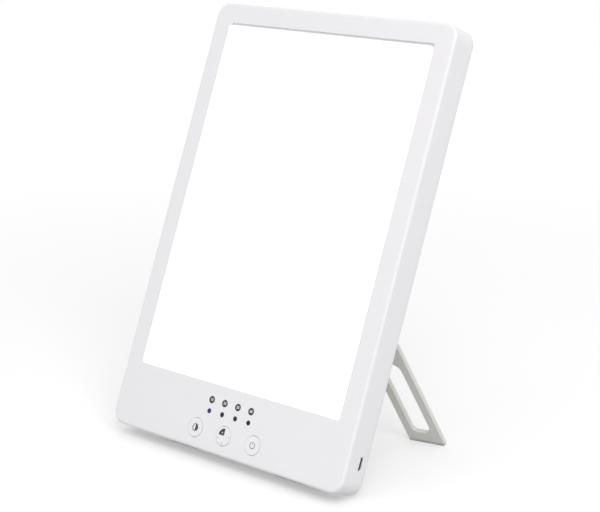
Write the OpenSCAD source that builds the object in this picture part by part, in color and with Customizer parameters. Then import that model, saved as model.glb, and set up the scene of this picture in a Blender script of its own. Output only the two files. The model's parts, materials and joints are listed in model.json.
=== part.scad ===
// Light therapy lamp: a thin edge-lit light panel that leans on two fold-out legs.
// Panel frame: x across, y up the panel, z out of its front face, which is z = 0.
// panel_frame() leans the panel back and stands it on its rubber feet, sole at Z = 0.
// leg_frame() has its x along a leg's hinge pin and -y down the folded leg.

/* [Panel] */
// Height of the panel
panel_h = 310; // [285:1:360]
// Width of the panel
panel_w = 214; // [206:1:250]
// Depth of the panel, front face to back
panel_t = 23; // [22.5:0.1:25]
// Radius of the panel's four corners, seen from the front
corner_r = 10; // [8:0.5:12]
// Radius of the front edge all round
front_edge_r = 2; // [0.6:0.1:2]
// Radius of the back edge all round
back_edge_r = 4; // [3:0.1:4.4]
// Lean of the panel from upright, in degrees
lean = 22.7; // [20.7:0.1:24.7]

/* [Housing] */
// Wall of the sides and of the back cover
wall = 2.2; // [1.8:0.1:2.4]
// Wall of the front face
front_wall = 2; // [1.6:0.1:2.4]
// Depth of the seam between the front housing and the back cover
seam_depth = 18; // [17.7:0.1:18.3]
// Height of the lip that centres the back cover in the housing
lip_h = 1.2; // [0.8:0.1:1.3]
// Thickness of that lip
lip_t = 1.2; // [0.8:0.1:1.6]
// Gap between the lip and the housing's wall
lip_gap = 0.15; // [0.1:0.05:0.3]

/* [Light window] */
// Frame beside the window, left and right
frame_side = 15; // [13.8:0.1:16]
// Frame above the window
frame_top = 14.2; // [13:0.1:16]
// Control band below the window
frame_bottom = 45.9; // [44.5:0.1:52]
// Radius of the window's corners
window_r = 2; // [1:0.5:4]
// How far the diffuser reaches behind the frame
diffuser_lap = 4.3; // [3.8:0.1:4.4]
// Thickness of the diffuser
diffuser_t = 1.5; // [1:0.1:2]
// How far the light guide reaches behind the frame
guide_lap = 2.7; // [2:0.1:2.9]
// Thickness of the light guide
guide_t = 3; // [2.5:0.1:3]
// Thickness of the reflector sheet
reflector_t = 0.3; // [0.2:0.1:0.4]
// Thickness of the chassis plate
chassis_t = 1; // [0.8:0.1:1]

/* [Light source] */
// LEDs on each bar
led_count = 20; // [8:1:28]
// Length of an LED along its bar
led_len = 3.5; // [2.8:0.1:4]
// Width of an LED
led_w = 1.8; // [1.4:0.1:2.2]
// Height of an LED above its bar
led_h = 0.8; // [0.6:0.05:0.9]
// Thickness of the LED bar
bar_t = 1; // [0.8:0.1:1.1]
// Gap between the LED bar and the sheets in front of it and behind it
bar_gap = 0.1; // [0.05:0.05:0.2]
// Gap between the LEDs and the edge of the light guide
led_gap = 0.2; // [0.1:0.05:0.3]

/* [Keys] */
// Radius of a key's cap
key_r = 6.5; // [5.5:0.1:7]
// Distance between the keys' centres
key_pitch = 26.8; // [22:0.1:28]
// Height of the keys' centres above the bottom edge
key_y = 13.7; // [12.5:0.1:14.2]
// Gap round a key's cap
key_gap = 0.25; // [0.15:0.05:0.4]
// How far a cap stands proud of the front face
key_proud = 0.2; // [0:0.05:0.4]
// Travel of a key
key_travel = 0.5; // [0.3:0.05:0.5]
// Width of the flange that keeps a key in
key_flange_w = 1; // [0.6:0.1:1.2]
// Thickness of that flange
key_flange_t = 0.8; // [0.6:0.1:1]
// Radius of a key's stem
key_stem_r = 1.75; // [1.2:0.05:2.2]

/* [Timer lights] */
// Number of timer lights
light_count = 4; // [2:1:5]
// Distance between the timer lights
light_pitch = 12.2; // [9:0.1:13]
// Height of the timer lights above the bottom edge
light_y = 27.1; // [25.5:0.1:28]
// Radius of a timer light's lens
light_r = 1.7; // [1.2:0.1:2]
// Gap round a lens
light_gap = 0.05; // [0.03:0.01:0.1]

/* [Control board] */
// Depth of the board's front side below the front face
board_depth = 10.5; // [10:0.1:10.8]
// Thickness of the board
board_t = 1.6; // [1.2:0.1:1.6]
// Height of the board's lower edge above the bottom edge
board_y = 6; // [5:0.1:6.5]
// Height of the board
board_h = 29.5; // [28.5:0.1:30]
// Gap between the board's ends and the housing's sides
board_side_gap = 2.8; // [2:0.1:4]
// Width and length of a key's switch
switch_w = 6; // [5:0.1:7]
// Height of the switch's body
switch_h = 2.6; // [2:0.1:2.8]
// Radius of the switch's plunger
plunger_r = 1.6; // [1.2:0.1:1.8]
// Height of the switch's plunger above its body
plunger_h = 0.5; // [0.3:0.1:0.6]
// Width of an LED connector
connector_w = 3.6; // [3:0.1:4]
// Length of an LED connector along the bar
connector_len = 5; // [4:0.1:6]
// Width of the power inductor
inductor_w = 8; // [6:0.1:9]
// Height of the power inductor
inductor_h = 4.2; // [3:0.1:5]
// Width of a filter capacitor's base
capacitor_w = 6.8; // [5:0.1:7.5]
// Height of a filter capacitor
capacitor_h = 5.6; // [4:0.1:6]
// Distance between the filter capacitors
capacitor_pitch = 9; // [8:0.1:12]
// Width of the controller chip
chip_w = 7; // [5:0.1:9]
// Height of the controller chip
chip_h = 1.2; // [0.8:0.1:1.6]

/* [USB-C inlet] */
// Height of the inlet's centre above the bottom edge
inlet_y = 22.4; // [21:0.1:24]
// Width of the inlet's shell
inlet_w = 9; // [8.9:0.1:9.2]
// Height of the inlet's shell
inlet_h = 3.2; // [3:0.1:3.2]
// Length of the inlet's shell
inlet_len = 6.2; // [5.8:0.1:6.4]
// Wall of the inlet's shell
inlet_wall = 0.3; // [0.25:0.05:0.4]
// How far the mouth lies inside the housing's side
inlet_inset = 0.6; // [0.3:0.1:1]
// Gap round the shell in the housing's slot
inlet_gap = 0.2; // [0.1:0.05:0.3]

/* [Fasteners] */
// Radius of a case screw's thread
screw_r = 1.5; // [1.2:0.05:1.6]
// Radius of a case screw's head
screw_head_r = 2.8; // [2.4:0.1:3]
// Height of a case screw's head
screw_head_h = 1.6; // [1.2:0.1:1.8]
// How deep the head sits below the back face
screw_sink = 0.4; // [0.2:0.1:0.6]
// Depth that a case screw goes into its boss
screw_bite = 8; // [6:0.5:9]
// Radius of the bosses for the case screws
boss_r = 3.2; // [2.9:0.1:3.3]
// Radius of the small screws' threads
small_screw_r = 1; // [0.8:0.05:1.1]
// Radius of the small screws' heads
small_head_r = 2; // [1.7:0.1:2.1]
// Height of the small screws' heads
small_head_h = 1.3; // [1:0.1:1.4]
// Radius of the small screws' bosses
small_boss_r = 2.4; // [2:0.1:2.5]
// Gap between a screw and its hole
screw_gap = 0.05; // [0.03:0.01:0.1]

/* [Legs] */
// Distance from the panel's side to the middle of a leg's hinge
hinge_inset = 58.4; // [57:0.1:62]
// Height of the hinges above the bottom edge
hinge_y = 140.8; // [134:0.1:148]
// How far each leg splays outwards, in degrees
splay = 16; // [13:0.5:17]
// Angle through which a leg opens, in degrees
open_angle = 45; // [43:0.5:47]
// Width of a leg
leg_w = 26; // [23:0.5:27]
// Thickness of a leg
leg_t = 3.5; // [3:0.1:3.6]
// Width of a leg's two limbs
limb_w = 5.6; // [4.8:0.1:6.6]
// Height of the bar across a leg's foot
toe_h = 9; // [7:0.5:12]
// Radius of a leg's lower corners
toe_r = 5; // [3:0.5:6]
// Length of a leg's slot
slot_len = 59.5; // [30:0.5:100]
// Radius of the lower corners of a leg's slot, whose upper end is a half circle
slot_r = 5; // [3:0.5:5.5]
// Radius of a leg's hinge barrel
barrel_r = 3.4; // [3.2:0.05:3.5]
// How deep a leg lies below the back face when it is folded
leg_sink = 0.4; // [0.2:0.1:0.6]
// Gap between a leg and the sides of its pocket
pocket_gap = 0.4; // [0.3:0.05:0.6]
// Gap between a leg's barrel and its pocket
barrel_gap = 0.25; // [0.15:0.05:0.3]
// Wall of a leg's pocket
pocket_wall = 1.6; // [1.2:0.1:1.8]
// Thickness of the rubber under a leg's foot
pad_t = 1.6; // [1:0.1:2.5]

/* [Hinge pins] */
// Radius of a hinge pin
pin_r = 1.5; // [1.2:0.05:1.6]
// Gap between a pin and a leg's bore
pin_run_gap = 0.08; // [0.04:0.01:0.1]
// Gap between a pin and the ears that hold it
pin_seat_gap = 0.03; // [0.02:0.01:0.05]
// Length of a pin inside each ear
pin_grip = 4; // [3:0.1:5]
// Plastic over each end of a pin
pin_cap = 1; // [0.8:0.1:1.5]

/* [Rubber feet] */
// Length of a rubber foot along the bottom edge
foot_len = 26; // [16:1:30]
// Depth of a rubber foot, front to back
foot_w = 3.2; // [2.4:0.1:3.4]
// Distance from the seam to a rubber foot
foot_setback = 0.3; // [0.2:0.1:0.6]
// Distance from the middle of the panel to a foot's centre
foot_x = 50; // [40:1:52]
// Least height of the back edge above the floor
foot_rise = 1.5; // [1:0.1:2.5]
// Depth of the recess that a foot is glued into
foot_recess = 1.6; // [1.4:0.1:1.8]

/* [Hidden] */
$fn = 48;

shell_white = "#ececef";
over = 1; // a cut reaches this far past the face it opens
far = 600; // larger than the whole lamp
weld = 0.01; // fused shapes overlap by this much

// Stack behind the window, as depths below the front face
diffuser_back = front_wall + diffuser_t;
guide_back = diffuser_back + guide_t;
reflector_back = guide_back + reflector_t;
chassis_back = reflector_back + chassis_t;

// Window, light guide and LED bars
window_w = panel_w - 2 * frame_side;
window_h = panel_h - frame_top - frame_bottom;
guide_w = window_w + 2 * guide_lap;
guide_h = window_h + 2 * guide_lap;
bar_face = guide_w / 2 + led_gap + led_h;
bar_back = bar_face + bar_t;
flange_t = chassis_t;
chassis_w = 2 * (bar_back + flange_t);
bar_w = guide_t - 2 * bar_gap;
bar_z = -(diffuser_back + guide_t / 2);
led_first_y = frame_bottom + 3;
led_step = (window_h - 6) / (led_count - 1);

// Control board and what stands on it
board_w = panel_w - 2 * (wall + board_side_gap);
board_back = board_depth + board_t;
plunger_gap = 0.05;
plunger_top = board_depth - switch_h - plunger_h;
stem_end = plunger_top - key_travel - plunger_gap;
flange_gap = 0.3;
led_body_h = 0.7;
lens_flange_t = 0.8;
lens_gap = 0.3;
connector_lap = 0.8; // an LED connector covers this much of the end of its bar
connector_edge = 2.5; // and stands this far below the board's upper edge
connector_top_y = board_y + board_h - connector_edge;
parts_y = board_y + board_h * 0.44;
inductor_x = 38;
capacitor_x = 20.5;
chip_x = -12;
inlet_z = -(board_back + inlet_h / 2);
tongue_w = inlet_w - 2.3;
tongue_t = 0.7;
tongue_back = 0.8;
tongue_len = inlet_len - tongue_back - 0.6;

// Case screws: three pairs, one pair between the legs' lower ends
cavity_z = -(panel_t - wall);
boss_root = 0.2; // the side bosses reach this far into the wall
side_screw_x = panel_w / 2 - wall - boss_r + boss_root;
low_screw_x = foot_x + 10;
low_screw_y = 11;
case_screw_at = [for (s = [-1, 1]) each [[s * side_screw_x, panel_h - 24],
    [s * side_screw_x, panel_h * 0.6], [s * low_screw_x, low_screw_y]]];
boss_gap = 0.3; // round a boss, in the lip and in the boards
post_r = boss_r + boss_gap;
case_screw_top = seam_depth - screw_bite;
head_seat = panel_t - screw_sink - screw_head_h;

// Small screws of the chassis and of the control board
tab_w = 9;
tab_reach = small_head_r + 0.4;
chassis_screw_at = [for (i = [-1:1]) each [
    [i * window_w * 0.38, frame_bottom - guide_lap - led_gap - flange_t - tab_reach],
    [i * window_w * 0.38, panel_h - frame_top + guide_lap + led_gap + flange_t + tab_reach]]];
board_screw_at = [for (s = [-1, 1]) each [[s * board_w * 0.206, board_y + board_h * 0.712],
    [s * board_w * 0.412, board_y + board_h * 0.203]]];
small_screw_bite = 3;

// Hinge, in the panel frame
hinge_x = panel_w / 2 - hinge_inset;
barrel_inset = leg_sink + barrel_r;
hinge_z = -(panel_t - barrel_inset);
leg_inner = leg_t - barrel_r;
pocket_w = leg_w + 2 * pocket_gap;
pocket_floor = leg_inner + pocket_gap;
ear_r = barrel_r + 0.2;
ear_w = pin_grip + pin_cap;
pin_len = pocket_w + 2 * pin_grip;

// Small gaps and walls
head_gap = 0.2;
foot_gap = 0.05;
foot_seat_t = 1.2;
lip_root = 1;

// Where the lamp stands: the back edge is foot_rise above the floor
stand_z = (panel_t - back_edge_r) * sin(lean) + back_edge_r * (1 - cos(lean)) + foot_rise;
front_y = front_edge_r * (sin(lean) + cos(lean) - 1);
back_y = (panel_h - back_edge_r) * sin(lean) + (panel_t - back_edge_r) * cos(lean) + back_edge_r;
stand_y = -(front_y + back_y) / 2;

// Along an open leg, the drop to the floor for each mm, and where its middle meets the floor
leg_drop = cos(open_angle) * cos(splay) * cos(lean) + sin(open_angle) * sin(lean);
leg_len = (stand_z + hinge_y * cos(lean) + hinge_z * sin(lean)) / leg_drop;
toe_slope = sin(splay) * cos(lean) / leg_drop;

// ---------- frames ----------
module panel_frame() {
    translate([0, stand_y, stand_z]) rotate([90 - lean, 0, 0]) children();
}

module hinge_frame(side) {
    translate([side * hinge_x, hinge_y, hinge_z]) rotate([0, 0, side * splay]) children();
}

module leg_frame(side) {
    hinge_frame(side) rotate([open_angle, 0, 0]) children();
}

// ---------- shapes that repeat ----------
// A 2D box len wide from y = -depth to y = 0, its upper and lower corners rounded
module edge_profile(len, depth, upper_r, lower_r) {
    intersection() {
        translate([0, -depth]) square([len, depth]);
        union() {
            translate([lower_r, -depth]) square([len - 2 * lower_r, lower_r + weld]);
            translate([0, lower_r - depth]) square([len, depth - lower_r - upper_r]);
            translate([upper_r, -upper_r - weld]) square([len - 2 * upper_r, upper_r + weld]);
            for (i = [0, 1]) {
                if (lower_r > 0) translate([lower_r + i * (len - 2 * lower_r), lower_r - depth])
                    circle(r = lower_r);
                if (upper_r > 0) translate([upper_r + i * (len - 2 * upper_r), -upper_r])
                    circle(r = upper_r);
            }
        }
    }
}

// A slab with round corners in plan and round front and back edges: two extruded
// profiles that cross, and a turned post at each corner
module soft_slab(w, h, depth, plan_r, front_r, back_r) {
    translate([plan_r - w / 2, 0, 0]) rotate([90, 0, 90]) linear_extrude(w - 2 * plan_r)
        edge_profile(h, depth, front_r, back_r);
    translate([-w / 2, h - plan_r, 0]) rotate([90, 0, 0]) linear_extrude(h - 2 * plan_r)
        edge_profile(w, depth, front_r, back_r);
    for (x = [-1, 1]) {
        for (y = [plan_r, h - plan_r]) {
            translate([x * (w / 2 - plan_r), y, 0]) rotate_extrude() intersection() {
                translate([-plan_r, 0]) edge_profile(2 * plan_r, depth, front_r, back_r);
                translate([0, -depth]) square([plan_r, depth]);
            }
        }
    }
}

// A flat plate with round corners, centred in x, from y = 0 up and z = 0 back
module plate(w, h, t, r) {
    translate([0, 0, -t]) linear_extrude(t) {
        translate([r - w / 2, 0]) square([w - 2 * r, h]);
        translate([-w / 2, r]) square([w, h - 2 * r]);
        for (x = [-1, 1]) for (y = [r, h - r]) translate([x * (w / 2 - r), y]) circle(r = r);
    }
}

// A cylinder from depth d0 to depth d1 below the front face
module post(r, d0, d1) {
    translate([0, 0, -d1]) cylinder(r = r, h = d1 - d0);
}

// A box centred in x and y, from depth d0 to depth d1
module block(w, h, d0, d1) {
    translate([-w / 2, -h / 2, -d1]) cube([w, h, d1 - d0]);
}

module at_each(places) {
    for (p = places) translate([p[0], p[1], 0]) children();
}

// A pan-head screw from its tip at depth d0 to the seat of its head at depth d1
module screw(r, head_r, head_h, d0, d1) {
    post(r, d0, d1 + weld);
    difference() {
        post(head_r, d1, d1 + head_h);
        translate([0, 0, -d1 - head_h - over]) cylinder(r = head_r * 0.45, h = over + head_h / 2, $fn = 6);
    }
}

// Corner points of a polygon rounded by radius r, as arcs of points
function unit(v) = v / norm(v);
function round_corner(a, b, c, r) =
    let (u = unit(a - b), w = unit(c - b), half = acos(u * w) / 2,
        middle = b + unit(u + w) * r / sin(half),
        from = atan2(-w[1], -w[0]), turn = 180 - 2 * half,
        side = sign(u[0] * w[1] - u[1] * w[0]), steps = 8)
    [for (i = [0:steps]) let (t = b + u * r / tan(half) - middle, q = side * turn * (i / steps),
        spin = -q) middle + [t[0] * cos(spin) - t[1] * sin(spin), t[0] * sin(spin) + t[1] * cos(spin)]];
function rounded(pts, radii) = let (n = len(pts))
    [for (i = [0:n - 1]) each radii[i] > 0
        ? round_corner(pts[(i + n - 1) % n], pts[i], pts[(i + 1) % n], radii[i]) : [pts[i]]];

// ---------- front housing ----------
module window_cut() {
    translate([0, frame_bottom, over]) plate(window_w, window_h, front_wall + 2 * over, window_r);
}

module inlet_slot(grow, x0, x1) {
    r = inlet_h / 2 + grow;
    reach = inlet_w / 2 - inlet_h / 2;
    translate([x0, inlet_y, inlet_z]) rotate([90, 0, 90]) linear_extrude(x1 - x0) {
        translate([-reach, -r]) square([2 * reach, 2 * r]);
        for (s = [-1, 1]) translate([s * reach, 0]) circle(r = r);
    }
}

module housing_cavity(grow) {
    translate([0, wall + grow, -front_wall])
        plate(panel_w - 2 * (wall + grow), panel_h - 2 * (wall + grow), panel_t, corner_r - wall - grow);
}

// A frame lip_t inside the line that lies grow inside the housing's wall, between two depths
module ring(grow, d0, d1) {
    inner = wall + lip_gap + lip_t;
    difference() {
        translate([0, wall + grow, -d0]) plate(panel_w - 2 * (wall + grow),
            panel_h - 2 * (wall + grow), d1 - d0, corner_r - wall - grow);
        translate([0, inner, over - d0]) plate(panel_w - 2 * inner, panel_h - 2 * inner,
            d1 - d0 + 2 * over, corner_r - inner);
    }
}

module key_places() {
    for (i = [-1:1]) translate([i * key_pitch, key_y, 0]) children();
}

module light_places() {
    for (i = [0:light_count - 1])
        translate([(i - (light_count - 1) / 2) * light_pitch, light_y, 0]) children();
}

module foot_bed(side_gap) {
    for (s = [-1, 1]) {
        translate([s * foot_x - foot_len / 2 - side_gap, -far,
            -seam_depth - foot_setback - foot_w - side_gap])
            cube([foot_len + 2 * side_gap, far + foot_recess, foot_w + 2 * side_gap]);
    }
}

// Thicker wall above each foot's recess
module foot_seats() {
    for (s = [-1, 1]) {
        translate([s * foot_x - foot_len / 2 - wall, wall - weld, cavity_z - weld])
            cube([foot_len + 2 * wall, foot_seat_t, panel_t - wall - seam_depth]);
    }
}

module front_housing() {
    color(shell_white) panel_frame() difference() {
        union() {
            difference() {
                soft_slab(panel_w, panel_h, seam_depth, corner_r, front_edge_r, 0);
                housing_cavity(0);
            }
            at_each(case_screw_at) post(boss_r, front_wall - weld, seam_depth);
            at_each(chassis_screw_at) post(small_boss_r, front_wall - weld, reflector_back);
            at_each(board_screw_at) post(small_boss_r, front_wall - weld, board_depth);
        }
        window_cut();
        at_each(case_screw_at) post(screw_r + screw_gap, case_screw_top - 0.5, seam_depth + over);
        at_each(chassis_screw_at)
            post(small_screw_r + screw_gap, reflector_back - small_screw_bite - 0.3, panel_t);
        at_each(board_screw_at)
            post(small_screw_r + screw_gap, board_depth - small_screw_bite - 0.3, panel_t);
        key_places() post(key_r + key_gap, -over, front_wall + over);
        light_places() post(light_r + light_gap, -over, front_wall + over);
        inlet_slot(inlet_gap, panel_w / 2 - wall - over, panel_w / 2 + over);
    }
}

// ---------- light engine ----------
module diffuser_panel() {
    w = window_w + 2 * diffuser_lap;
    h = window_h + 2 * diffuser_lap - 1.2;
    color("white") panel_frame() translate([0, frame_bottom - diffuser_lap + 1.2, -front_wall])
        plate(w, h, diffuser_t, window_r);
}

module light_guide() {
    color("#f4f8fb") panel_frame() translate([0, frame_bottom - guide_lap, -diffuser_back])
        plate(guide_w, guide_h, guide_t, 0.5);
}

module reflector_sheet() {
    color("#f7f7f7") panel_frame() translate([0, frame_bottom - guide_lap, -guide_back])
        plate(guide_w, guide_h, reflector_t, 0.5);
}

module chassis_plate() {
    low = frame_bottom - guide_lap - led_gap - flange_t;
    high = panel_h - frame_top + guide_lap + led_gap + flange_t;
    color("#c9ccd0") panel_frame() difference() {
        union() {
            translate([-chassis_w / 2, low, -chassis_back]) cube([chassis_w, high - low, chassis_t]);
            for (s = [-1, 1]) {
                translate([s * (chassis_w - flange_t) / 2 - flange_t / 2, low, -chassis_back])
                    cube([flange_t, high - low, chassis_back - diffuser_back]);
            }
            for (y = [low, high - flange_t]) {
                translate([-guide_w / 2, y, -chassis_back])
                    cube([guide_w, flange_t, chassis_back - diffuser_back]);
            }
            at_each(chassis_screw_at) block(tab_w, 2 * tab_reach + 0.2, reflector_back, chassis_back);
        }
        at_each(chassis_screw_at) post(small_screw_r + screw_gap, 0, panel_t);
    }
}

module led_bar(side) {
    color("#e9efe4") panel_frame()
        translate([side * (bar_face + bar_t / 2) - bar_t / 2, connector_top_y, bar_z - bar_w / 2])
        cube([bar_t, panel_h - frame_top - connector_top_y, bar_w]);
}

module leds(side) {
    color("#f2e7a6") panel_frame() for (i = [0:led_count - 1]) {
        translate([side * (bar_face - led_h / 2) - led_h / 2,
            led_first_y + i * led_step - led_len / 2, bar_z - led_w / 2]) cube([led_h, led_len, led_w]);
    }
}

module chassis_screws() {
    color("#a9adb3") panel_frame() at_each(chassis_screw_at)
        screw(small_screw_r, small_head_r, small_head_h, reflector_back - small_screw_bite, chassis_back);
}

// ---------- control board ----------
module control_board() {
    color("#1f6b46") panel_frame() difference() {
        translate([-board_w / 2, board_y, -board_back]) cube([board_w, board_h, board_t]);
        at_each(case_screw_at) post(boss_r + boss_gap, 0, panel_t);
        at_each(board_screw_at) post(small_screw_r + screw_gap, 0, panel_t);
    }
}

module key_switches() {
    color("#2b2b2e") panel_frame() key_places() {
        block(switch_w, switch_w, board_depth - switch_h, board_depth);
        post(plunger_r, plunger_top, board_depth - switch_h + weld);
    }
}

module timer_leds() {
    color("#f3f0c8") panel_frame() light_places()
        block(1.6, 1.2, board_depth - led_body_h, board_depth);
}

module timer_lenses() {
    color("#22252b") panel_frame() light_places() {
        post(light_r, 0, board_depth - led_body_h - lens_gap);
        post(light_r + 0.7, front_wall, front_wall + lens_flange_t);
    }
}

module usb_c_socket() {
    mouth = panel_w / 2 - inlet_inset;
    back = mouth - inlet_len;
    color("#8f9298") panel_frame() {
        difference() {
            inlet_slot(0, back, mouth);
            inlet_slot(-inlet_wall, back + tongue_back, mouth + over);
        }
        translate([back + tongue_back - weld, inlet_y - tongue_w / 2, inlet_z - tongue_t / 2])
            cube([tongue_len, tongue_w, tongue_t]);
    }
}

module led_connectors() {
    color("#f0ede2") panel_frame() for (s = [-1, 1]) {
        translate([s * (bar_face + bar_t / 2), connector_top_y - connector_len / 2, 0])
            block(connector_w, connector_len, -bar_z - connector_lap, board_depth);
    }
}

module power_inductor() {
    well = inductor_w * 0.325;
    color("#3a3a3e") panel_frame() translate([inductor_x, parts_y, 0]) difference() {
        block(inductor_w, inductor_w, board_back, board_back + inductor_h);
        post(well, board_back + inductor_h - 0.6, board_back + inductor_h + over);
    }
}

module filter_capacitors() {
    base_t = 0.6;
    color("#b9bec6") panel_frame() for (i = [-0.5, 0.5]) {
        translate([capacitor_x + i * capacitor_pitch, parts_y, 0]) {
            post(capacitor_w / 2 - 0.25, board_back + base_t, board_back + capacitor_h);
            block(capacitor_w, capacitor_w, board_back, board_back + base_t);
        }
    }
}

module controller_chip() {
    color("#232427") panel_frame() translate([chip_x, parts_y, 0])
        block(chip_w, chip_w, board_back, board_back + chip_h);
}

module board_screws() {
    color("#a9adb3") panel_frame() at_each(board_screw_at)
        screw(small_screw_r, small_head_r, small_head_h, board_depth - small_screw_bite, board_back);
}

// ---------- keys ----------
module key(i) {
    color("#e6e6ea") panel_frame() translate([i * key_pitch, key_y, 0]) {
        post(key_r, -key_proud, front_wall + flange_gap + weld);
        post(key_r + key_gap + key_flange_w, front_wall + flange_gap,
            front_wall + flange_gap + key_flange_t);
        post(key_stem_r, front_wall + flange_gap + key_flange_t - weld, stem_end);
    }
}

// ---------- back cover ----------
// Side view of a leg's pocket, in the hinge frame: x is up the leg, y is towards the front
module pocket_profile() {
    r = barrel_r + barrel_gap;
    out = barrel_inset + over;
    lift = (out - r * cos(open_angle)) / sin(open_angle);
    lip = [r * sin(open_angle), -r * cos(open_angle)];
    polygon([[0, 0], lip, lip - lift * [cos(open_angle), sin(open_angle)], [-far, -out],
        [-far, pocket_floor], [0, pocket_floor]]);
    circle(r = r);
}

// Side view of the walls round the pocket
module pocket_wall_profile() {
    r = barrel_r + barrel_gap + pocket_wall;
    translate([-far, -barrel_inset]) square([far, barrel_inset + pocket_floor + pocket_wall]);
    translate([-weld, -barrel_inset]) square([r, barrel_inset]);
    circle(r = r);
}

// Runs a side view across the hinge frame's x
module across(w) {
    rotate([90, 0, 90]) translate([0, 0, -w / 2]) linear_extrude(w) children();
}

module pocket_cuts() {
    for (s = [-1, 1]) hinge_frame(s) {
        across(pocket_w) pocket_profile();
        translate([-pocket_w / 2 - pin_grip - 0.1, 0, 0]) rotate([0, 90, 0])
            cylinder(r = pin_r + pin_seat_gap, h = pin_len + 0.2);
    }
}

module pocket_walls() {
    for (s = [-1, 1]) hinge_frame(s) {
        across(pocket_w + 2 * pocket_wall) pocket_wall_profile();
        translate([-pocket_w / 2 - ear_w, 0, 0]) rotate([0, 90, 0])
            cylinder(r = ear_r, h = pocket_w + 2 * ear_w);
        translate([-pocket_w / 2 - ear_w, -ear_r, -barrel_inset])
            cube([pocket_w + 2 * ear_w, 2 * ear_r, barrel_inset]);
    }
}

// The space that the back cover may fill: its own depth, and the housing's cavity above that
module cover_space() {
    translate([0, 0, -seam_depth])
        soft_slab(panel_w, panel_h, panel_t - seam_depth, corner_r, 0, back_edge_r);
    intersection() {
        housing_cavity(lip_gap);
        translate([-far / 2, -far / 2, -seam_depth - weld]) cube([far, far, far]);
    }
}

// A frame just inside the housing's wall, on a root that joins it to the cover's wall
module cover_lip() {
    difference() {
        union() {
            ring(lip_gap, seam_depth - lip_h, seam_depth + weld);
            ring(-wall / 2, seam_depth, seam_depth + lip_root);
        }
        at_each(case_screw_at) post(boss_r + boss_gap, 0, seam_depth);
        inlet_slot(lip_gap, panel_w / 2 - wall - inlet_len - over, panel_w / 2 - wall);
    }
}

module rear_cover() {
    color(shell_white) panel_frame() difference() {
        union() {
            difference() {
                translate([0, 0, -seam_depth])
                    soft_slab(panel_w, panel_h, panel_t - seam_depth, corner_r, 0, back_edge_r);
                translate([0, wall, 0]) soft_slab(panel_w - 2 * wall, panel_h - 2 * wall,
                    panel_t - wall, corner_r - wall, 0, back_edge_r - wall);
            }
            cover_lip();
            at_each(case_screw_at) post(post_r, seam_depth, -cavity_z + weld);
            foot_seats();
            intersection() {
                pocket_walls();
                cover_space();
            }
        }
        pocket_cuts();
        at_each(case_screw_at) {
            post(screw_r + screw_gap, seam_depth - over, panel_t + over);
            post(screw_head_r + head_gap, head_seat, panel_t + over);
        }
        foot_bed(foot_gap);
    }
}

module case_screws() {
    color("#8d9197") panel_frame() at_each(case_screw_at)
        screw(screw_r, screw_head_r, screw_head_h, case_screw_top, head_seat);
}

module rubber_feet() {
    color("#d5d5d3") intersection() {
        panel_frame() foot_bed(0);
        translate([-far / 2, -far / 2, 0]) cube([far, far, far]);
    }
}

// ---------- legs ----------
module hinge_pin(side) {
    color("#b4b7bb") panel_frame() hinge_frame(side) translate([-pin_len / 2, 0, 0])
        rotate([0, 90, 0]) cylinder(r = pin_r, h = pin_len);
}

// Outline of a leg in its own plane: x across, y up to the hinge. Its foot lies along the floor
module leg_outline(side, past) {
    half = leg_w / 2;
    hole = half - limb_w;
    arch = toe_h + slot_len - leg_len;
    function toe(x) = -(leg_len + past + side * toe_slope * x);
    difference() {
        polygon(rounded([[-half, 0], [-half, toe(-half)], [half, toe(half)], [half, 0]],
            [0, toe_r, toe_r, 0]));
        polygon(rounded([[-hole, arch - hole], [-hole, toe(-hole) + toe_h + past],
            [hole, toe(hole) + toe_h + past], [hole, arch - hole]], [0, slot_r, slot_r, 0]));
        translate([0, arch - hole]) circle(r = hole);
    }
}

// A whole leg, open, with its foot running a little past the floor
module leg_blank(side) {
    leg_frame(side) difference() {
        union() {
            translate([0, 0, -barrel_r]) linear_extrude(leg_t) leg_outline(side, leg_t);
            translate([-leg_w / 2, 0, 0]) rotate([0, 90, 0]) cylinder(r = barrel_r, h = leg_w);
        }
        translate([-leg_w / 2 - over, 0, 0]) rotate([0, 90, 0])
            cylinder(r = pin_r + pin_run_gap, h = leg_w + 2 * over);
    }
}

module leg(side) {
    color("#bdbdb6") difference() {
        panel_frame() leg_blank(side);
        translate([-far / 2, -far / 2, pad_t - far]) cube([far, far, far]);
    }
}

module leg_pad(side) {
    color("#8f8f8b") intersection() {
        panel_frame() leg_blank(side);
        translate([-far / 2, -far / 2, 0]) cube([far, far, pad_t]);
    }
}

front_housing();
diffuser_panel();
light_guide();
reflector_sheet();
chassis_plate();
led_bar(-1);  // led_bar_left
led_bar(1);  // led_bar_right
leds(-1);  // leds_left
leds(1);  // leds_right
chassis_screws();
control_board();
key_switches();
timer_leds();
timer_lenses();
usb_c_socket();
led_connectors();
power_inductor();
filter_capacitors();
controller_chip();
board_screws();
key(-1);  // brightness_key
key(0);  // timer_key
key(1);  // power_key
rear_cover();
case_screws();
rubber_feet();
hinge_pin(-1);  // left_hinge_pin
hinge_pin(1);  // right_hinge_pin
leg(-1);  // left_leg
leg_pad(-1);  // left_leg_pad
leg(1);  // right_leg
leg_pad(1);  // right_leg_pad
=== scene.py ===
"""Light therapy lamp: finishes, printed marks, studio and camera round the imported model.

Lengths are metres in the model's own frame. Panel coordinates are x across the panel, y up it from its
bottom edge and z out of its front face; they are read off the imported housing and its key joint.
"""

import json
from math import cos, radians, sin

import bmesh
import bpy
import numpy as np
from mathutils import Matrix, Vector


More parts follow.
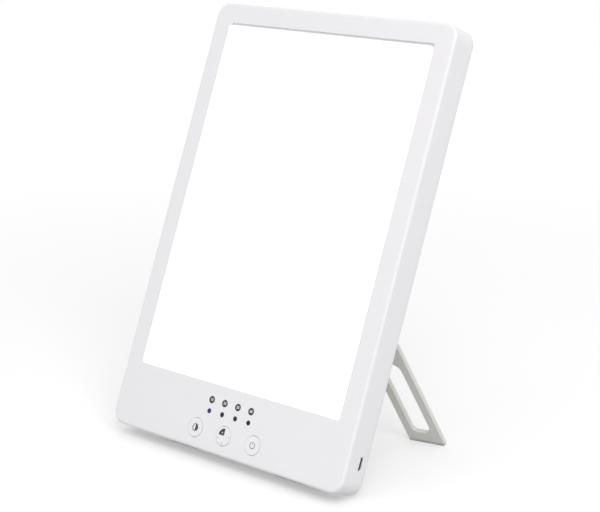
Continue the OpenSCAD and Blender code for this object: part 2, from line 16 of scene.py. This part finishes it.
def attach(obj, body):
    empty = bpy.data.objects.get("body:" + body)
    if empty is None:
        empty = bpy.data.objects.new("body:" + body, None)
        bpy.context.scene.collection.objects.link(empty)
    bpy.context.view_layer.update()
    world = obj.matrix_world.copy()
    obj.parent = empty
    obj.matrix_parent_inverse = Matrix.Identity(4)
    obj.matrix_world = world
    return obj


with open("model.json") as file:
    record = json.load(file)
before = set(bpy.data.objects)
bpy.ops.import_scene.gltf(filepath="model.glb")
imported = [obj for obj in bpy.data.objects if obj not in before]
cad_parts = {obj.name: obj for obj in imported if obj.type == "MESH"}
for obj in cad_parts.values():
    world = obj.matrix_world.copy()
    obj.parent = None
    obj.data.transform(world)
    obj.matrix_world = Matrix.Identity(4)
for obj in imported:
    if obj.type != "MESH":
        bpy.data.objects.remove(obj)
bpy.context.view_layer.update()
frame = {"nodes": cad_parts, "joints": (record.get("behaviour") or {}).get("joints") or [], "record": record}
MM = 0.001

# ---------- camera ----------
IMAGE_W = 600
SENSOR_MM = 36.0
FOCAL_PX = 1700
CAMERA_YAW = radians(42.23)
CAMERA_PITCH = radians(14.795)
CAMERA_ROLL = radians(0.638)
CAMERA_AT = Vector((0.76081, -0.82454, 0.43008))


def place_camera():
    """The view is turned by the yaw about the upright, tipped down by the pitch and rolled about itself."""
    level = np.array([-sin(CAMERA_YAW), cos(CAMERA_YAW), 0.0])
    forward = level * cos(CAMERA_PITCH) + np.array([0.0, 0.0, -sin(CAMERA_PITCH)])
    right = np.array([cos(CAMERA_YAW), sin(CAMERA_YAW), 0.0])
    down = np.cross(forward, right)
    image_x = cos(CAMERA_ROLL) * right + sin(CAMERA_ROLL) * down
    image_y = cos(CAMERA_ROLL) * down - sin(CAMERA_ROLL) * right
    data = bpy.data.cameras.new("camera")
    data.sensor_width = SENSOR_MM
    data.lens = SENSOR_MM * FOCAL_PX / IMAGE_W
    camera = bpy.data.objects.new("camera", data)
    turn = Matrix(np.column_stack([image_x, -image_y, -forward]).tolist())
    camera.matrix_world = Matrix.Translation(CAMERA_AT) @ turn.to_4x4()
    bpy.context.scene.collection.objects.link(camera)
    bpy.context.scene.camera = camera


place_camera()

# ---------- panel coordinates ----------
ACROSS = np.array([1.0, 0.0, 0.0])
OUT = -np.array(next(j["axis"] for j in frame["joints"] if j["name"] == "timer_press"), float)
UP = np.cross(OUT, ACROSS)
FACE_AXES = (ACROSS, UP, OUT)


def mesh_points(node):
    """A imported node's vertices as an array of points."""
    mesh = frame["nodes"][node].data
    flat = np.empty(len(mesh.vertices) * 3, np.float32)
    mesh.vertices.foreach_get("co", flat)
    return flat.reshape(-1, 3).astype(float)


HOUSING = mesh_points("front_housing")
BOTTOM = float((HOUSING @ UP).min())
FRONT = float((HOUSING @ OUT).max())


def panel_box(node):
    """Lowest and highest corner of a node in panel coordinates."""
    points = mesh_points(node)
    local = np.column_stack([points @ ACROSS, points @ UP - BOTTOM, points @ OUT - FRONT])
    return local.min(0), local.max(0)


def panel_point(x, y, z):
    """A point in panel coordinates as a point of the model."""
    return x * ACROSS + (y + BOTTOM) * UP + (z + FRONT) * OUT


def middle(box):
    """The middle of a box, from its lowest and highest corner."""
    return (box[0] + box[1]) / 2


# ---------- shader maths ----------
class Value:
    """A shader value that Python arithmetic works on: each operator adds the Math node of its name."""

    def __init__(self, tree, socket):
        self.tree = tree
        self.socket = socket

    def maths(self, operation, first, second=0.0):
        return self.tree.add("ShaderNodeMath", {"operation": operation}, {0: first, 1: second})

    def __add__(self, other):
        return self.maths("ADD", self, other)

    def __radd__(self, other):
        return self.maths("ADD", other, self)

    def __sub__(self, other):
        return self.maths("SUBTRACT", self, other)

    def __rsub__(self, other):
        return self.maths("SUBTRACT", other, self)

    def __mul__(self, other):
        return self.maths("MULTIPLY", self, other)

    def __rmul__(self, other):
        return self.maths("MULTIPLY", other, self)

    def __abs__(self):
        return self.maths("ABSOLUTE", self)

    def __pow__(self, other):
        return self.maths("POWER", self, other)

    def larger(self, other):
        return self.maths("MAXIMUM", self, other)

    def smaller(self, other):
        return self.maths("MINIMUM", self, other)


class Tree:
    """One node tree and the short words that build it."""

    def __init__(self, node_tree):
        self.nodes = node_tree.nodes
        self.links = node_tree.links
        self.nodes.clear()

    def add(self, kind, settings=None, inputs=None, output=0):
        """Adds a node, sets its settings, then fills its sockets with values or links."""
        node = self.nodes.new(kind)
        for key, value in (settings or {}).items():
            setattr(node, key, value)
        for key, value in (inputs or {}).items():
            if isinstance(value, Value):
                self.links.new(value.socket, node.inputs[key])
            else:
                node.inputs[key].default_value = value
        return Value(self, node.outputs[output]) if node.outputs else node

    def place(self):
        """The point on the model, in metres."""
        return self.add("ShaderNodeTexCoord", output="Object")

    def dot(self, vector, axis):
        """How much of a vector lies along an axis."""
        inputs = {0: vector, 1: tuple(axis)}
        return self.add("ShaderNodeVectorMath", {"operation": "DOT_PRODUCT"}, inputs, "Value")

    def along(self, axis, start=0.0):
        """How far the point lies along an axis, in metres from the start."""
        return self.dot(self.place(), axis) - start

    def stretched(self, factors):
        """The point with each of its coordinates scaled, for grain that runs one way."""
        inputs = {"Vector": self.place(), "Scale": factors}
        return self.add("ShaderNodeMapping", {"vector_type": "POINT"}, inputs)

    def noise(self, size, detail=2.0, vector=None):
        """Soft noise from 0 to 1 whose blobs are about that size, in metres."""
        inputs = {"Vector": vector or self.place(), "Scale": 1 / size, "Detail": detail}
        return self.add("ShaderNodeTexNoise", None, inputs, "Fac")

    def cells(self, size, feature="F1"):
        """Distance to the nearest of points scattered about that size apart, or to the edge between two."""
        inputs = {"Vector": self.place(), "Scale": 1 / size}
        return self.add("ShaderNodeTexVoronoi", {"feature": feature}, inputs, "Distance")

    def ramp(self, value, low, high):
        """A smooth step from 0 at low to 1 at high."""
        inputs = {"Value": value, "From Min": low, "From Max": high}
        return self.add("ShaderNodeMapRange", {"interpolation_type": "SMOOTHSTEP"}, inputs)

    def mix(self, factor, first, second):
        """A colour between two colours."""
        colours = [c if isinstance(c, Value) else (*c, 1.0) for c in (first, second)]
        inputs = {0: factor, 6: colours[0], 7: colours[1]}
        return self.add("ShaderNodeMix", {"data_type": "RGBA"}, inputs, 2)

    def bump(self, height, depth, soft_edge=0.0):
        """A bump of that depth in metres, over edges softened by a small radius."""
        inputs = {"Height": height, "Distance": depth, "Strength": 1.0}
        if soft_edge:
            inputs["Normal"] = self.add("ShaderNodeBevel", {"samples": 4}, {"Radius": soft_edge})
        return self.add("ShaderNodeBump", None, inputs)

    def surface(self, **sockets):
        """The Principled shader and the output, with sockets named in small letters."""
        inputs = {key.replace("_", " ").title().replace("Ior", "IOR"): v for key, v in sockets.items()}
        shader = self.add("ShaderNodeBsdfPrincipled", None, inputs)
        self.add("ShaderNodeOutputMaterial", None, {"Surface": shader})


def material(name):
    """A new material and the tree that builds it."""
    made = bpy.data.materials.new(name)
    made.use_nodes = True
    return made, Tree(made.node_tree)


def shade(colour, factor):
    """A colour, lighter or darker by a factor."""
    return tuple(min(1.0, c * factor) for c in colour)


# ---------- finishes ----------
BLACK = (0.0, 0.0, 0.0)
GRAIN = 0.35 * MM  # spark-eroded texture of the moulded parts
GRAIN_DEPTH = 0.006 * MM
SPECK = 3 * GRAIN
FLOW = 45 * MM  # broad, faint unevenness of a large moulding


def moulded(name, colour, roughness=0.42, soft_edge=0.25 * MM, variation=0.02, grain_depth=GRAIN_DEPTH):
    """Satin moulded plastic: fine eroded grain, and a broad faint drift of its colour and gloss."""
    made, tree = material(name)
    flow = tree.noise(FLOW, 3.0)
    drift = 0.7 * flow + 0.3 * tree.noise(SPECK)
    tree.surface(
        base_color=tree.mix(drift, shade(colour, 1 - variation), shade(colour, 1 + variation)),
        roughness=roughness - 0.06 + 0.12 * flow,
        normal=tree.bump(tree.noise(GRAIN), grain_depth, soft_edge),
        specular_ior_level=0.45,
    )
    return made


PEBBLE = 0.6 * MM
DUST = 6 * MM


def rubber(name, colour):
    """Matt rubber with a pebbled skin and a little dust in it."""
    made, tree = material(name)
    pebbles = tree.cells(PEBBLE)
    dust = tree.ramp(tree.noise(DUST, 4.0), 0.35, 0.75)
    tree.surface(
        base_color=tree.mix(dust, shade(colour, 0.9), shade(colour, 1.12)),
        roughness=0.82 - 0.12 * pebbles,
        normal=tree.bump(pebbles, 0.03 * MM, 0.2 * MM),
        specular_ior_level=0.3,
    )
    return made


FINE_GRAIN = 0.25 * MM
FINE_DEPTH = 0.002 * MM
BLOOM = 8 * MM


def metal(name, colour, roughness, stretch=(1.0, 1.0, 1.0), grain=FINE_GRAIN):
    """Bare metal whose grain runs along the axis that is stretched least, with a faint dull bloom."""
    made, tree = material(name)
    lines = tree.noise(grain, 3.0, tree.stretched(stretch))
    bloom = tree.noise(BLOOM, 3.0)
    tree.surface(
        base_color=tree.mix(0.5 * lines + 0.5 * bloom, shade(colour, 0.86), shade(colour, 1.08)),
        roughness=roughness - 0.08 + 0.16 * lines,
        metallic=1.0,
        normal=tree.bump(lines, FINE_DEPTH, 0.1 * MM),
    )
    return made


LAP = 4.3 * MM  # how far the diffuser reaches behind the frame above and at its sides
LAP_BELOW = 3.1 * MM
SHADOW_FREE_SHIFT = np.array([-1.5, -3.2]) * MM  # from the window's middle to the middle of the oblong beyond which the frame's painted shadow lies
# corner radius and fade width of the frame's painted shadow on the diffuser
SHADOW_FREE_R = 4.0 * MM
SHADOW_FADE = 2.6 * MM
HAZE = 30 * MM
DOTS = 0.8 * MM


def window_box():
    """Lowest and highest corner of the window in panel coordinates, x and y: the diffuser less its laps."""
    low, high = panel_box("diffuser_panel")
    return low[:2] + (LAP, LAP_BELOW), high[:2] - LAP


def opal_diffuser():
    """Opal sheet lit from behind, with a painted shadow of the frame along its top and right edges. Outside a
    rounded oblong as large as the window, shifted down and left so that it ends just below the frame's top
    edge, the sheet is painted darker and its glow fades out; the distance to that oblong is the length of the
    positive part of the point's distance beyond the oblong's straight sides, less its corner radius."""
    made, tree = material("diffuser")
    low, high = window_box()
    half = (high - low) / 2
    centre = middle((low, high)) + SHADOW_FREE_SHIFT
    beyond_x = abs(tree.along(ACROSS, centre[0])) - float(half[0] - SHADOW_FREE_R)
    beyond_y = abs(tree.along(UP, BOTTOM + centre[1])) - float(half[1] - SHADOW_FREE_R)
    corner = (beyond_x.larger(0.0) ** 2.0 + beyond_y.larger(0.0) ** 2.0) ** 0.5
    distance = corner + beyond_x.larger(beyond_y).smaller(0.0) - SHADOW_FREE_R
    # painted shadow of the frame on the diffuser: 0 inside the shifted oblong, rising to 1 beyond it
    painted_shadow = tree.ramp(distance, 0.0, SHADOW_FADE)
    haze = tree.noise(HAZE)
    dots = tree.ramp(tree.cells(DOTS), 0.1, 0.6)
    lit = tree.mix(0.6 * haze + 0.4 * dots, (0.985, 0.99, 1.0), (1.0, 1.0, 1.0))
    # under the painted shadow the sheet is painted darker and its glow fades to black
    tree.surface(
        base_color=tree.mix(painted_shadow, (0.9, 0.905, 0.91), (0.80, 0.79, 0.81)),
        roughness=0.55 + 0.1 * haze,
        emission_color=tree.mix(painted_shadow, lit, BLACK),
        emission_strength=0.85,
        normal=tree.bump(tree.noise(FINE_GRAIN), FINE_DEPTH),
    )
    return made


FIRST_LENS = 1 / 6  # share of the row's width that holds the first lens
LENS_DRIFT = 1.5 * MM


def timer_lens():
    """Smoked lenses with a faint moulding drift; the lamp behind the first one glows blue."""
    made, tree = material("lens_dark")
    low, high = panel_box("timer_lenses")
    first_ends = float(low[0] + (high[0] - low[0]) * FIRST_LENS)
    first = tree.ramp(tree.along(ACROSS), first_ends + MM, first_ends)
    drift = tree.noise(LENS_DRIFT)
    dark = tree.mix(drift, (0.008, 0.008, 0.010), (0.016, 0.016, 0.018))
    tree.surface(
        base_color=tree.mix(first, dark, (0.015, 0.02, 0.08)),
        roughness=0.3 + 0.1 * drift,
        emission_color=tree.mix(first, BLACK, (0.03, 0.04, 0.27)),
        emission_strength=0.38,
        specular_ior_level=0.3,
        normal=tree.bump(drift, 0.004 * MM, 0.15 * MM),
    )
    return made


INK_COVER = 0.5 * MM


def ink(name, colour):
    """Printed ink: matt, a little uneven in its cover."""
    made, tree = material(name)
    cover = tree.noise(INK_COVER, 3.0)
    tree.surface(
        base_color=tree.mix(cover, shade(colour, 0.85), shade(colour, 1.15)),
        roughness=0.5 + 0.15 * cover,
        normal=tree.bump(cover, 0.003 * MM),
    )
    return made


ETCHED_DOTS = 1.6 * MM


def clear_acrylic():
    """Clear sheet with a pattern of etched dots."""
    made, tree = material("acrylic")
    dots = 1 - tree.ramp(tree.cells(ETCHED_DOTS), 0.16, 0.24)
    tree.surface(
        base_color=tree.mix(dots, (0.93, 0.95, 0.96), (1.0, 1.0, 1.0)),
        roughness=0.05 + 0.5 * dots,
        transmission_weight=0.9,
        normal=tree.bump(dots, 0.02 * MM),
    )
    return made


PEARL = 2 * MM


def reflector_film():
    """White reflector film with a pearly sheen."""
    made, tree = material("reflector")
    pearl = tree.noise(PEARL, 4.0)
    tree.surface(
        base_color=tree.mix(pearl, (0.93, 0.93, 0.93), (0.97, 0.97, 0.97)),
        roughness=0.35 + 0.2 * pearl,
        normal=tree.bump(pearl, 0.01 * MM),
    )
    return made


TRACK_PITCH = 2.2 * MM
PAD_PITCH = 4.4 * MM


def solder_mask(name, colour, track, pads):
    """Board: solder mask over tracks, with tinned pads scattered between them."""
    made, tree = material(name)
    tracks = tree.ramp(tree.cells(TRACK_PITCH, "DISTANCE_TO_EDGE"), 0.10, 0.14)
    tin = 1 - tree.ramp(tree.cells(PAD_PITCH), 0.10, 0.13)
    tree.surface(
        base_color=tree.mix(tin, tree.mix(tracks, track, colour), pads),
        roughness=0.45 - 0.15 * tin,
        metallic=0.9 * tin,
        normal=tree.bump(1 - tracks + tin, 0.03 * MM),
    )
    return made


PHOSPHOR_GRAIN = 0.15 * MM


def phosphor():
    """LED package: a yellow phosphor window with a grainy fill."""
    made, tree = material("led")
    grains = tree.noise(PHOSPHOR_GRAIN, 3.0)
    tree.surface(
        base_color=tree.mix(grains, (0.93, 0.84, 0.42), (0.97, 0.93, 0.70)),
        roughness=0.3 + 0.2 * grains,
        emission_color=tree.mix(grains, (0.95, 0.93, 0.85), (1.0, 1.0, 1.0)),
        emission_strength=0.6,
        normal=tree.bump(grains, 0.01 * MM),
    )
    return made


WHITE = (0.85, 0.837, 0.86)
LEG_GREY = (0.71, 0.71, 0.675)
FINISHES = {
    "housing_white": moulded("housing_white", WHITE),
    "key_white": moulded("key_white", shade(WHITE, 1.01), 0.36, 0.3 * MM, 0.01, GRAIN_DEPTH / 2),
    "leg_grey": moulded("leg_grey", LEG_GREY, 0.5, 0.35 * MM, 0.03),
    "black_plastic": moulded("black_plastic", (0.03, 0.03, 0.033), 0.5, 0.1 * MM, 0.1),
    "connector_plastic": moulded("connector_plastic", (0.86, 0.83, 0.76), 0.4, 0.1 * MM),
    "foot_rubber": rubber("foot_rubber", (0.62, 0.62, 0.60)),
    "pad_rubber": rubber("pad_rubber", (0.52, 0.52, 0.50)),
    "screw_steel": metal("screw_steel", (0.60, 0.61, 0.63), 0.34),
    "pin_steel": metal("pin_steel", (0.68, 0.69, 0.71), 0.22, (8.0, 1.0, 1.0)),
    "socket_steel": metal("socket_steel", (0.84, 0.83, 0.85), 0.28),
    "chassis_metal": metal("chassis_metal", (0.76, 0.77, 0.79), 0.4, (1.0, 0.1, 0.1), 0.6 * MM),
    "can_aluminium": metal("can_aluminium", (0.72, 0.74, 0.77), 0.3),
    "circuit_board": solder_mask("circuit_board", (0.02, 0.16, 0.07), (0.04, 0.26, 0.12), (0.75, 0.75, 0.72)),
    "led_board": solder_mask("led_board", (0.88, 0.90, 0.86), (0.80, 0.82, 0.78), (0.80, 0.80, 0.78)),
    "led": phosphor(),
    "lens_dark": timer_lens(),
    "diffuser": opal_diffuser(),
    "acrylic": clear_acrylic(),
    "reflector": reflector_film(),
}
INK_DARK = ink("ink_dark", (0.045, 0.043, 0.048))
INK_PALE = ink("ink_pale", (0.26, 0.25, 0.26))
INK_WHITE = ink("ink_white", (0.80, 0.80, 0.82))
GILT = metal("gilt", (0.85, 0.62, 0.28), 0.25)


def dress_frame():
    """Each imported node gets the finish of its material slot."""
    for part in frame["record"]["subparts"]:
        piece = frame["nodes"][part["node"]]
        finish = FINISHES[part["material_slot"]]
        if not piece.material_slots:
            piece.data.materials.append(finish)
        for place in piece.material_slots:
            place.material = finish


dress_frame()

# ---------- films ----------
INK_T = 0.02 * MM
ARC_STEPS = 64
SAME_PLACE = 0.0001 * MM  # points closer than this are merged
NO_SIZE = 0.00001 * MM  # shorter edges are dissolved


def arc(radius, start, end, steps=ARC_STEPS, centre=(0.0, 0.0)):
    """Points on an arc: the centre plus the radius times the cosine and sine of each angle from start to
    end, in degrees."""
    angle = np.radians(np.linspace(start, end, steps))
    return np.array(centre) + radius * np.column_stack([np.cos(angle), np.sin(angle)])


def line(start, end, steps=2):
    """Points on a straight line from start to end."""
    share = np.linspace(0, 1, steps)[:, None]
    return np.array(start) * (1 - share) + np.array(end) * share


def film(left, right, closed=False):
    """A thin film between two edges. Its section at each step is the four corners left and right at the
    base and at the film's top; the sections are joined along the edges, and an open film has end caps."""
    steps = len(left)
    heights = np.array([0.0, INK_T, INK_T, 0.0])
    edges = np.stack([left, left, right, right], axis=1)
    points = np.concatenate([edges, np.broadcast_to(heights[None, :, None], (steps, 4, 1))], axis=2)
    i = np.arange(steps if closed else steps - 1)[:, None]
    k = np.arange(4)[None, :]
    ahead, beside = (i + 1) % steps, (k + 1) % 4
    corners = np.broadcast_arrays(4 * i + k, 4 * i + beside, 4 * ahead + beside, 4 * ahead + k)
    faces = np.stack(corners, axis=-1).reshape(-1, 4).tolist()
    if not closed:
        faces += [[3, 2, 1, 0], [4 * (steps - 1) + n for n in range(4)]]
    return points.reshape(-1, 3), faces


def disc(radius, centre):
    """A filled circle: a film from the circle to its middle."""
    rim = arc(radius, 0, 360, ARC_STEPS + 1, centre)[:-1]
    return film(rim, np.broadcast_to(np.array(centre, float), rim.shape), closed=True)


def spoke(angle, inner, outer, width):
    """A short bar along a radius, from the inner to the outer radius."""
    direction = np.array([cos(radians(angle)), sin(radians(angle))])
    side = np.array([-direction[1], direction[0]]) * width / 2
    return film(line(direction * inner + side, direction * outer + side),
                line(direction * inner - side, direction * outer - side))


def build(name, films, origin, axes, body, finish):
    """One piece from several films, each point p becoming origin + p0 a0 + p1 a1 + p2 a2; doubles are
    merged and faces turned outwards."""
    starts = np.cumsum([0] + [len(points) for points, _ in films])
    points = np.concatenate([points for points, _ in films]) @ np.array(axes) + np.array(origin)
    faces = [[n + start for n in face] for (_, some), start in zip(films, starts) for face in some]
    mesh = bpy.data.meshes.new(name)
    mesh.from_pydata(points.tolist(), [], faces)
    work = bmesh.new()
    work.from_mesh(mesh)
    bmesh.ops.remove_doubles(work, verts=work.verts, dist=SAME_PLACE)
    bmesh.ops.dissolve_degenerate(work, edges=work.edges, dist=NO_SIZE)
    bmesh.ops.recalc_face_normals(work, faces=work.faces)
    work.to_mesh(mesh)
    work.free()
    mesh.materials.append(finish)
    piece = bpy.data.objects.new(name, mesh)
    bpy.context.scene.collection.objects.link(piece)
    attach(piece, body)


# ---------- timer marks ----------
MARK_R = 2.55 * MM
MARK_RISE = 7.8 * MM  # above its light
MARK_TEXTS = ("10", "20", "30", "60")
DIGIT_H = 1.9 * MM
DIGIT_BOLD = 0.06 * MM
LETTER_SIZE = 1.38  # the typeface's size against the height of its digits


def mark_centres():
    """Centres of the marks above the four timer lenses in panel coordinates, x and y."""
    low, high = panel_box("timer_lenses")
    flange_r = (high[1] - low[1]) / 2
    xs = np.linspace(low[0] + flange_r, high[0] - flange_r, len(MARK_TEXTS))
    return [(x, (low[1] + high[1]) / 2 + MARK_RISE) for x in xs]


def number_film(text, centre):
    """Outlines of a plain number, filled, centred and lifted by a film's thickness, onto its disc."""
    curve = bpy.data.curves.new("number", "FONT")
    curve.body = text
    curve.align_x = "CENTER"
    curve.align_y = "CENTER"
    curve.size = DIGIT_H * LETTER_SIZE
    curve.extrude = INK_T / 2
    curve.offset = DIGIT_BOLD
    curve.resolution_u = 3
    stand_in = bpy.data.objects.new("number", curve)
    bpy.context.scene.collection.objects.link(stand_in)
    evaluated = stand_in.evaluated_get(bpy.context.evaluated_depsgraph_get())
    mesh = bpy.data.meshes.new_from_object(evaluated)
    points = np.array([v.co for v in mesh.vertices], float) + np.array([*centre, 1.5 * INK_T])
    faces = [list(face.vertices) for face in mesh.polygons]
    bpy.data.objects.remove(stand_in)
    bpy.data.curves.remove(curve)
    bpy.data.meshes.remove(mesh)
    return points, faces


def timer_marks():
    """A dark disc above each timer light, with the minutes on it in white."""
    centres = mark_centres()
    origin = panel_point(0, 0, 0)
    discs = [disc(MARK_R, centre) for centre in centres]
    build("timer_marks", discs, origin, FACE_AXES, "panel", INK_DARK)
    numbers = [number_film(text, centre) for text, centre in zip(MARK_TEXTS, centres)]
    build("timer_numbers", numbers, origin, FACE_AXES, "panel", INK_WHITE)


# ---------- key icons ----------
FINE_LINE = 0.4 * MM


def build_icon(name, films, key, finish):
    """An icon on the middle of a key's outer face, riding on that key."""
    low, high = panel_box(key)
    x, y, _ = middle((low, high))
    build(name, films, panel_point(x, y, high[2]), FACE_AXES, key, finish)


SUN_R = 2.55 * MM
SUN_LINE = 0.55 * MM
SUN_RAY = (0.35 * MM, 0.9 * MM)  # where a ray starts and ends beyond the sun
SUN_RAYS = 8


def brightness_icon():
    """A sun whose right half is filled: a half disc, the other half's outline and short rays."""
    half = film(arc(SUN_R, -90, 90), line((0.0, -SUN_R), (0.0, SUN_R), ARC_STEPS))
    outline = film(arc(SUN_R, 90, 270), arc(SUN_R - SUN_LINE, 90, 270))
    start, end = SUN_R + SUN_RAY[0], SUN_R + SUN_RAY[1]
    rays = [spoke(360 * i / SUN_RAYS, start, end, FINE_LINE) for i in range(SUN_RAYS)]
    build_icon("brightness_icon", [half, outline, *rays], "brightness_key", INK_DARK)


WEDGE_R = 4.9 * MM
WEDGE_HEART = np.array([0.3, 0.3]) * MM
WEDGE_HOLE_R = 0.5 * MM
WEDGE_HOLE_AT = WEDGE_HEART + np.array([-0.40, 0.36]) * WEDGE_R
TICK = (4.6 * MM, 5.4 * MM)  # where a tick starts and ends
TICK_ANGLES = (0, 205, 270)


def timer_icon():
    """A clock whose last quarter is filled: a wedge from nine to twelve round a small hole, and ticks
    near three, six and eight. The wedge's edge is followed by the hole's point in the same direction."""
    steps = ARC_STEPS // 3
    bow = arc(WEDGE_R, 90, 180, steps, WEDGE_HEART)
    inwards, outwards = line(bow[-1], WEDGE_HEART, steps), line(WEDGE_HEART, bow[0], steps)
    rim = np.concatenate([bow[:-1], inwards[:-1], outwards[:-1]])
    ray = rim - WEDGE_HOLE_AT
    hole = WEDGE_HOLE_AT + WEDGE_HOLE_R * ray / np.linalg.norm(ray, axis=1)[:, None]
    ticks = [spoke(angle, *TICK, FINE_LINE) for angle in TICK_ANGLES]
    build_icon("timer_icon", [film(rim, hole, closed=True), *ticks], "timer_key", INK_DARK)


POWER_R = 2.4 * MM
POWER_LINE = 0.6 * MM
POWER_GAP = 34  # degrees on each side of the top
POWER_BAR = (0.9 * MM, POWER_R + 0.3 * MM)  # where the bar starts and ends


def power_icon():
    """A ring that is open at the top, with a short upright bar in its opening."""
    ends = (90 + POWER_GAP, 450 - POWER_GAP)
    ring = film(arc(POWER_R, *ends), arc(POWER_R - POWER_LINE, *ends))
    build_icon("power_icon", [ring, spoke(90, *POWER_BAR, POWER_LINE)], "power_key", INK_PALE)


# ---------- inlet contacts ----------
CONTACTS = 12
CONTACT_PITCH = 0.5 * MM
CONTACT_W = 0.25 * MM
CONTACT_LEN = 2.4 * MM
TONGUE_T = 0.7 * MM
TONGUE_SHORT = 0.6 * MM  # the tongue ends this far inside the mouth
CONTACT_BACK = 0.3 * MM  # and the contacts this far behind its tip


def contact(across):
    """One contact: a straight film that far across the tongue's middle."""
    low, high = across - CONTACT_W / 2, across + CONTACT_W / 2
    return film(line((0.0, low), (CONTACT_LEN, low)), line((0.0, high), (CONTACT_LEN, high)))


def inlet_contacts():
    """Gilt contacts on both faces of the inlet's tongue, side by side along its width."""
    low, high = panel_box("usb_c_socket")
    _, y, z = middle((low, high))
    start = high[0] - TONGUE_SHORT - CONTACT_BACK - CONTACT_LEN
    contacts = [contact((i - (CONTACTS - 1) / 2) * CONTACT_PITCH) for i in range(CONTACTS)]
    for side, name in ((1, "front"), (-1, "back")):
        origin = panel_point(start, y, z + side * TONGUE_T / 2)
        axes = (ACROSS, UP, side * OUT)
        build(f"inlet_contacts_{name}", contacts, origin, axes, "panel", GILT)


timer_marks()
brightness_icon()
timer_icon()
power_icon()
inlet_contacts()

# ---------- studio ----------
FLOOR_HALF = 6.0
FLOOR_SEEN = 0.8
FLOOR_BOUNCE = 0.58
FLOOR_LIFT = 0.23
FLOOR_LIFT_FAR = 0.34  # past the key light's reach
FLOOR_NEAR, FLOOR_FAR = 0.35, 1.3
SKY_LEVEL = 0.86
SKY_BEHIND = 0.84  # share of that level behind the lamp
KEY_AT = (1.0, -0.65, 1.15)
KEY_AIM = (0.0, 0.0, 0.15)
KEY_SIZE = 0.9
KEY_POWER = 8.6


def seen_directly(tree):
    """1 for what the camera, a reflection or a clear part shows, 0 for what only lights the lamp."""
    kinds = ("Camera", "Glossy", "Transmission")
    rays = [tree.add("ShaderNodeLightPath", output=f"Is {kind} Ray") for kind in kinds]
    return (rays[0] + rays[1] + rays[2]).smaller(1.0)


def floor():
    """A plain pale floor. What is seen of it is lifted towards white and keeps the lamp's shadow."""
    made, tree = material("floor")
    seen = seen_directly(tree)
    base = tree.mix(seen, (FLOOR_BOUNCE,) * 3, (FLOOR_SEEN,) * 3)
    diffuse = tree.add("ShaderNodeBsdfDiffuse", None, {"Color": base})
    away = tree.add("ShaderNodeVectorMath", {"operation": "LENGTH"}, {0: tree.place()}, "Value")
    strength = FLOOR_LIFT + (FLOOR_LIFT_FAR - FLOOR_LIFT) * tree.ramp(away, FLOOR_NEAR, FLOOR_FAR)
    lift = tree.add("ShaderNodeEmission", None, {"Color": (1, 1, 1, 1), "Strength": strength * seen})
    both = tree.add("ShaderNodeAddShader", None, {0: diffuse, 1: lift})
    tree.add("ShaderNodeOutputMaterial", None, {"Surface": both})
    mesh = bpy.data.meshes.new("floor")
    corners = [(-1, -1), (1, -1), (1, 1), (-1, 1)]
    mesh.from_pydata([(x * FLOOR_HALF, y * FLOOR_HALF, 0) for x, y in corners], [], [(0, 1, 2, 3)])
    mesh.materials.append(made)
    piece = bpy.data.objects.new("floor", mesh)
    bpy.context.scene.collection.objects.link(piece)


def sky():
    """A soft light from all round, a little weaker from behind, seen as white."""
    world = bpy.data.worlds.new("studio")
    world.use_nodes = True
    bpy.context.scene.world = world
    tree = Tree(world.node_tree)
    seen = seen_directly(tree)
    way = tree.add("ShaderNodeTexCoord", output="Generated")
    cast = SKY_LEVEL * (1 - (1 - SKY_BEHIND) * tree.ramp(tree.dot(way, (0, 1, 0)), -0.3, 0.8))
    level = cast + (1 - cast) * seen
    light = tree.add("ShaderNodeBackground", None, {"Color": (1, 1, 1, 1), "Strength": level})
    tree.add("ShaderNodeOutputWorld", None, {"Surface": light})


def key_light():
    """A square soft light, turned to its aim."""
    data = bpy.data.lights.new("key_light", "AREA")
    data.shape = "SQUARE"
    data.size = KEY_SIZE
    data.energy = KEY_POWER
    light = bpy.data.objects.new("key_light", data)
    light.location = KEY_AT
    light.rotation_euler = (Vector(KEY_AIM) - Vector(KEY_AT)).to_track_quat("-Z", "Y").to_euler()
    bpy.context.scene.collection.objects.link(light)


floor()
sky()
key_light()
bpy.context.scene.view_settings.view_transform = "Standard"
